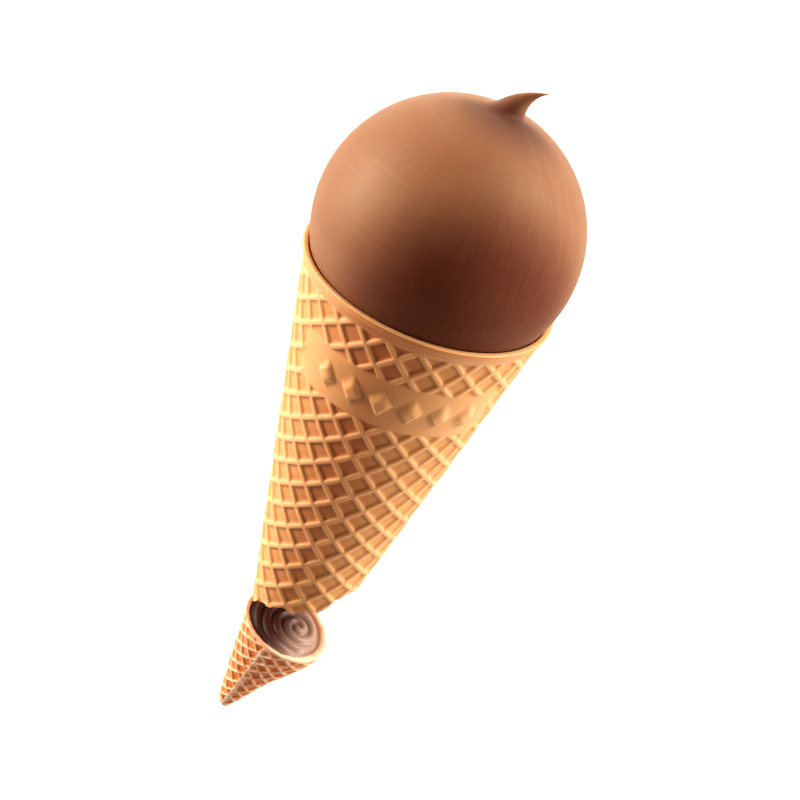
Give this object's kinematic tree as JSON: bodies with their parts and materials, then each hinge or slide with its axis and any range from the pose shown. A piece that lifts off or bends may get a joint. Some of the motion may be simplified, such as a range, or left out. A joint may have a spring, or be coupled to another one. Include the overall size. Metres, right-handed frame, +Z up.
{
  "type": "filled ice cream cone",
  "caption": "Brown ice cream ball with a curled peak in a waffle-patterned wafer cone lying on its side, its tip snapped off and holding swirled chocolate.",
  "frame": {"origin": "on the floor under the middle of the whole object's bounding box", "axes": "+X from the snapped tip towards the ball of ice cream, +Z up, +Y to the left when looking from the tip to the ball"},
  "size_m": [0.1658, 0.054, 0.0549],
  "materials": {
    "wafer": "baked golden wafer with a pressed waffle grid, dry and matte",
    "ice_cream": "smooth frozen hazelnut-chocolate ice cream, satin, with faint streaks from the peak",
    "tip_wafer": "caramel-brown thin wafer with pale pressed ridges, dry and matte",
    "chocolate": "set chocolate with a piped spiral top, glossy"
  },
  "bodies": {
    "root": {"wafer_cone": "wafer", "ice_cream": "ice_cream", "tip_cone": "tip_wafer", "tip_chocolate": "chocolate"}
  },
  "joints": []
}
